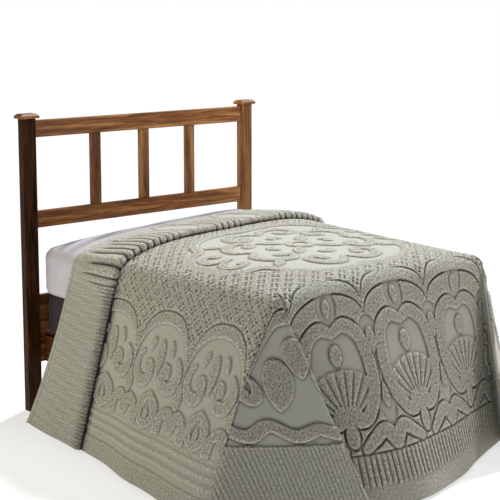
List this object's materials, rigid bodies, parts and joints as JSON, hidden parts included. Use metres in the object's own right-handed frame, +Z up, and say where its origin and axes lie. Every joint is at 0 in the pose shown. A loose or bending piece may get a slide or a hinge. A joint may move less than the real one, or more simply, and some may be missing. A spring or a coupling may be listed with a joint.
{
  "type": "chenille bedspread draped over a made bed",
  "caption": "Tufted chenille bedspread with a folded-back head end, hanging to the floor over a mattress on a plain wooden bed with a slatted headboard.",
  "frame": {"origin": "on the floor under the middle of the whole bed", "axes": "+X to the right across the bed seen from its foot, +Y from the foot to the headboard, +Z up"},
  "size_m": [2.1206, 2.2428, 1.5693],
  "materials": {
    "chenille": "tufted cotton chenille",
    "cotton_sheet": "smooth cotton",
    "ticking": "dark woven cover",
    "dark_wood": "satin varnish"
  },
  "bodies": {
    "root": {"bedspread": "chenille", "mattress": "cotton_sheet", "box_spring": "ticking", "post_left": "dark_wood", "post_right": "dark_wood", "cap_left": "dark_wood", "cap_right": "dark_wood", "top_rail": "dark_wood", "lower_rail": "dark_wood", "bottom_rail": "dark_wood", "slat_1": "dark_wood", "slat_2": "dark_wood", "slat_3": "dark_wood", "side_rail_left": "dark_wood", "side_rail_right": "dark_wood", "foot_rail": "dark_wood", "foot_leg_left": "dark_wood", "foot_leg_right": "dark_wood", "cross_board_1": "dark_wood", "cross_board_2": "dark_wood", "cross_board_3": "dark_wood", "cross_board_4": "dark_wood", "cross_board_5": "dark_wood"}
  },
  "joints": []
}
